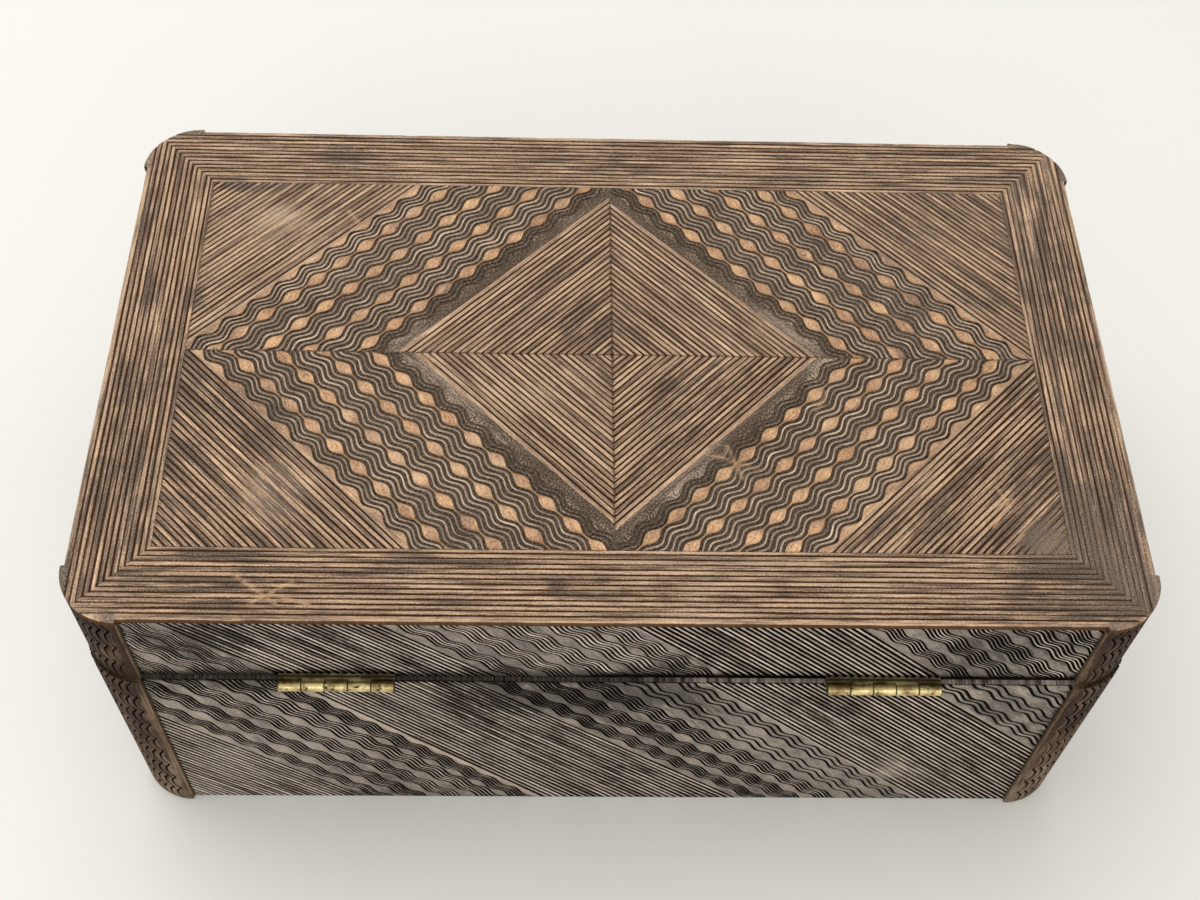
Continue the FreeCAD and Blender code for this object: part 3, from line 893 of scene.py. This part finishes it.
def buildStrip(turn, side):
    look = borderStrip
    postLow, postHigh = boxOf("lid_post_back_right")
    radius = postHigh.x - postLow.x
    quarterLow, quarterHigh = boxOf("lid_quarter_back_right")
    centreY = quarterHigh.y
    halves = [(quarterHigh.x, postLow.x), (centreY - quarterLow.y, centreY - postHigh.y)]
    node = "lid_border_" + side
    low, high = boxOf(node)
    (inner, postLine), (across, postAcross) = halves if turn % 2 == 0 else reversed(halves)
    proud = postAcross + radius - across
    face = proud - look["postStep"]
    thickness = high.z - low.z
    reach = postLine + radius * sqrt(0.5)
    spare = look["postSpare"]
    middle = evenly(-postLine + spare, postLine - spare, round(2 * postLine / look["step"]))
    end = evenly(postLine + spare, reach + spare + look["cornerOver"], look["cornerSteps"])
    columns = [-x for x in reversed(end)] + middle + end
    rows = [carvedRow(0.0)] + combRows(look["combStart"], face - look["combEnd"], look["comb"])
    rows += [carvedRow(face - drop) for drop in look["lip"]]
    mesh, layers = newGrid(len(rows), len(columns))
    cut, tone, worn, shade = layers[:4]
    seed = seedOf(look, turn)
    spin = Matrix.Rotation(radians(90 * turn + 180), 4, "Z")
    for index, vert in enumerate(mesh.verts):
        out, depth, dark = rows[index % len(rows)][:3]
        x = columns[index // len(rows)]
        wander = 0.0
        if look["grooveStart"] < out < face - look["lipRun"]:
            wander = uneven(look["wander"], x, out, seed)
        if out > face - look["lipRun"] and abs(x) > postLine:
            wander = proud - face
        ends = ease((abs(x) - inner + look["smoothFrom"]) / look["smoothRun"])
        smoothed = look["smoothMin"] + (1 - look["smoothMin"]) * ends
        play = look["depthLeft"] + uneven(look["depthPlay"], x, out, seed)
        play *= 1 - look["smooth"][turn] * smoothed
        vert.co = (x, out + wander, -depth * play)
        vert[cut] = min(1.0, dark * play)
        onTop = spin @ Vector((x, across + out, 0))
        vert[shade] = stainAt(topStains, onTop.x, onTop.y)
        vert[worn] = scratchAt(onTop.x, onTop.y)
        if abs(x) > postLine and out > face - look["dirtRun"]:
            vert[shade] += look["cornerDirt"]
        setGrain(vert, layers, x, out, seed)
    centreOut = postAcross - across
    for sign in (-1, 1):
        trim(mesh, (sign * inner, 0, 0), (sign, -1, 0))
        for index in range(look["cornerPlanes"]):
            angle = radians(45) * (index + 0.5) / look["cornerPlanes"]
            normal = Vector((sign * sin(angle), cos(angle), 0))
            trim(mesh, Vector((sign * postLine, centreOut, 0)) + normal * radius, normal)
    for vert in mesh.verts:
        x, out = vert.co.x, vert.co.y
        beyond = abs(x) - postLine
        if beyond > 0:
            gap = radius - hypot(beyond, out - centreOut) if out > centreOut else farOff
        else:
            gap = face - out
        size = sum(uneven(play, x, turn) for play in look["chipPlay"])
        chip = look["chips"] * max(0.0, size - look["chipSpare"])
        run = look["edgeRun"] + chip
        if gap < run:
            share = 1 - max(0.0, gap) / run
            vert.co.z -= (look["edgeDrop"] + chip * look["chipDrop"]) * share ** 2
            rubbed = look["rubbed"][turn] + uneven(look["rubPlay"], x, turn) + chip
            rubbed -= look["rubStain"] * max(0.0, vert[shade])
            vert[worn] = min(1.0, share * look["rubGain"]) * max(0.0, min(1.0, rubbed))
        if min(out, inner + out - abs(x)) < look["jointRun"]:
            vert.co.z -= look["jointDrop"]
    closeSheet(mesh, thickness, layers, look["arris"], look["sideDarkAndShade"])
    layOut(mesh, (-reach, 0.0), (reach, proud), thickness)
    place = Matrix.Scale(mm, 4) @ Matrix.Translation((0, centreY, high.z)) @ spin @ Matrix.Translation((0, across, 0))
    finishPiece(mesh, "border_" + side, place, "lid", "carved_top", [node])


# the rounded corner posts

cornerPost = {
    "plain": 2.4, "pitch": 2.6, "groove": 0.9, "floor": 0.35, "depth": 0.36, "play": 0.3, "swing": 0.9, "period": 9.6,
    "lean": 0.6, "swingSpare": 0.2, "sway": (1.0, 0.05, 0.03, 0), "left": 0.95, "leastLeft": 0.1,
    "leftPlay": (0.9, 0.09, 0.035, 2), "dark": 0.8, "seed": (3.3, 53), "step": 0.8, "jump": 0.02,
    "proud": 1.5, "rebate": 4.0, "panel": 6.0, "wall": 11.0, "facing": 3.0,
    "endDrop": 0.25, "endRun": 0.9, "arrisDrop": 0.3, "arrisRun": 0.5, "endWorn": 0.15, "endWornRun": 1.2,
    "arrisWorn": 0.7, "lidShade": 0.8, "caseShade": (-0.5, 1.2),
}


def nearness(gap, run):
    return max(0.0, 1 - gap / run)


def buildPosts():
    look = cornerPost
    low, high = boxOf("case_post_back_right")
    radius = high.x - low.x
    arc = radius * pi / 2
    carved = [row._replace(swing=look["swing"]) for row in combRows(look["plain"], arc - look["plain"], look)]
    margin = (0.0, look["arrisRun"], look["plain"] - look["swing"] - look["swingSpare"])
    outline = [carvedRow(run) for run in margin] + carved + [carvedRow(arc - run) for run in reversed(margin)]
    # from the arc's end round the hidden side: shoulders, rebates and inner corner, seen from the arc's centre
    reach = radius - look["proud"]
    near, deep = reach - look["facing"], reach - look["wall"]
    shelf = deep + look["rebate"]
    hidden = [(near, 0.0), (near, deep), (shelf, deep), None, (deep, shelf), (deep, near), (0.0, near)]
    total = len(outline) + len(hidden) + 1
    for body, (number, corner) in product(("case", "lid"), enumerate(corners)):
        signX, signY = corners[corner]
        node = f"{body}_post_{corner}"
        low, high = boxOf(node)
        height = high.z - low.z
        panel = (0.0, look["panel"]) if body == "case" else (height - look["panel"], height)
        levels = evenly(0.0, height, round(height / look["step"]))
        for edge in panel:
            if 0 < edge < height:
                levels += [edge - look["jump"], edge + look["jump"]]
        levels.sort()
        mesh, layers = newGrid(total, len(levels))
        cut, tone, worn, shade = layers[:4]
        seed = seedOf(look, number)
        for index, vert in enumerate(mesh.verts):
            row, z = index % total, levels[index // total]
            row = 0 if row == total - 1 else row
            if row >= len(outline):
                point = hidden[row - len(outline)]
                if point is None:
                    inRebate = panel[0] - tiny <= z <= panel[1] + tiny
                    point = (shelf, shelf) if inRebate else (deep, deep)
                # hidden points run from the arc's far end (along +Y) back to its start
                vert.co = (point[1], point[0], z)
                setGrain(vert, layers, z, sum(point), 0)
                continue
            run, depth, dark, _, swing = outline[row][:5]
            along = z + low.z
            turn = 2 * pi * along / look["period"] + uneven(look["sway"], run, along, seed)
            angle = (run + swing * cos(turn + look["lean"] * sin(turn))) / radius
            left = look["left"] + uneven(look["leftPlay"], run, along, seed)
            left = max(look["leastLeft"], min(1.0, left))
            edge, arris = min(z, height - z), nearness(min(run, arc - run), look["arrisRun"])
            eased = look["endDrop"] * nearness(edge, look["endRun"]) ** 2 + look["arrisDrop"] * arris ** 2
            out = radius - depth * left - eased
            vert.co = (out * cos(angle), out * sin(angle), z)
            vert[cut] = min(1.0, look["dark"] * dark * left)
            # on the case posts a painted reflection of the floor makes the foot paler, and they darken towards the
            # top; the lid posts are darker all over
            foot, climb = look["caseShade"]
            vert[shade] = look["lidShade"] if body == "lid" else foot + climb * along / height
            vert[worn] = max(look["endWorn"] * nearness(edge, look["endWornRun"]), look["arrisWorn"] * arris)
            setGrain(vert, layers, along, run, seed)
        bmesh.ops.remove_doubles(mesh, verts=mesh.verts[:], dist=tiny)
        bmesh.ops.edgeloop_fill(mesh, edges=openEdges(mesh))
        centre = (low.x if signX > 0 else high.x, low.y if signY > 0 else high.y, low.z)
        place = Matrix.Scale(mm, 4) @ Matrix.Translation(centre) @ Matrix.Diagonal((signX, signY, 1, 1))
        finishPiece(mesh, f"{body}_corner_{corner}", place, body, "carved_side", [node], "corner_post")


buildQuarters()
buildFacings()
for turn, side in enumerate(sides):
    buildStrip(turn, side)
buildPosts()

# CAD nodes that stay get their finish
slotOf = {"board": "plain_board", "leaf": "hinge_brass", "screws": "hinge_brass", "pin": "hinge_steel"}
for name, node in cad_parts.items():
    slot = slotOf.get(name.split("_")[-1])
    if slot:
        node.data.materials.clear()
        node.data.materials.append(finishes[slot])
print("kept nodes finished")


# floor, light and camera

studio = {
    "floor": (240, 239, 234), "floorSize": 3.0, "floorCells": 8, "floorDrop": 0.0003, "floorCloud": 3.0,
    "floorDim": 0.97, "floorRough": 0.6, "sky": (255, 253, 248), "skyStrength": 0.62, "aim": (0, 0, 0.06),
    "keyPlace": (-0.3, 0.45, 1.25), "keySize": 1.4, "keyPower": 9.4,
    "fillPlace": (0.1, -1.2, 0.75), "fillSize": 1.3, "fillPower": 6.6,
}


def buildFloor():
    cells = studio["floorCells"]
    mesh = bmesh.new()
    bmesh.ops.create_grid(mesh, x_segments=cells, y_segments=cells, size=studio["floorSize"])
    bmesh.ops.translate(mesh, verts=mesh.verts[:], vec=(0, 0, -studio["floorDrop"]))
    data = meshData("floor", mesh)
    floor = addObject("floor", data)
    material, tree, shader = newMaterial("paleFloor")
    cloud = noiseAt(tree, ownSpace(tree), studio["floorCloud"])
    pale = colour(*studio["floor"])
    dim = [part * studio["floorDim"] for part in pale[:3]] + [1.0]
    tree.links.new(mix(tree, cloud, dim, pale), shader.inputs["Base Color"])
    shader.inputs["Roughness"].default_value = studio["floorRough"]
    data.materials.append(material)


def areaLamp(name):
    lamp = bpy.data.lights.new(name + "Lamp", "AREA")
    lamp.shape = "DISK"
    lamp.size = studio[name + "Size"]
    lamp.energy = studio[name + "Power"]
    holder = addObject(name + "Lamp", lamp)
    place = Vector(studio[name + "Place"])
    holder.location = place
    holder.rotation_euler = (Vector(studio["aim"]) - place).to_track_quat("-Z", "Y").to_euler()


buildFloor()
areaLamp("key")
areaLamp("fill")
world = bpy.data.worlds.new("studioWorld")
scene.world = world
world.use_nodes = True
sky = world.node_tree.nodes["Background"]
sky.inputs["Color"].default_value = colour(*studio["sky"])
sky.inputs["Strength"].default_value = studio["skyStrength"]

photoCamera = {
    "place": (-17.7, -291.5, 501.3), "turn": -3.045, "tilt": 34.203, "roll": 3.159, "lens": 47.70, "sensor": 36.0,
}
camera = bpy.data.cameras.new("photoCamera")
camera.sensor_fit = "HORIZONTAL"
camera.sensor_width = photoCamera["sensor"]
camera.lens = photoCamera["lens"]
holder = addObject("photoCamera", camera)
aimed = Matrix.Translation(Vector(photoCamera["place"]) * mm)
for turning, axis in (("turn", "Z"), ("tilt", "X"), ("roll", "Z")):
    aimed = aimed @ Matrix.Rotation(radians(photoCamera[turning]), 4, axis)
holder.matrix_world = aimed
scene.camera = holder
scene.view_settings.view_transform = "Standard"
print("studio ready")
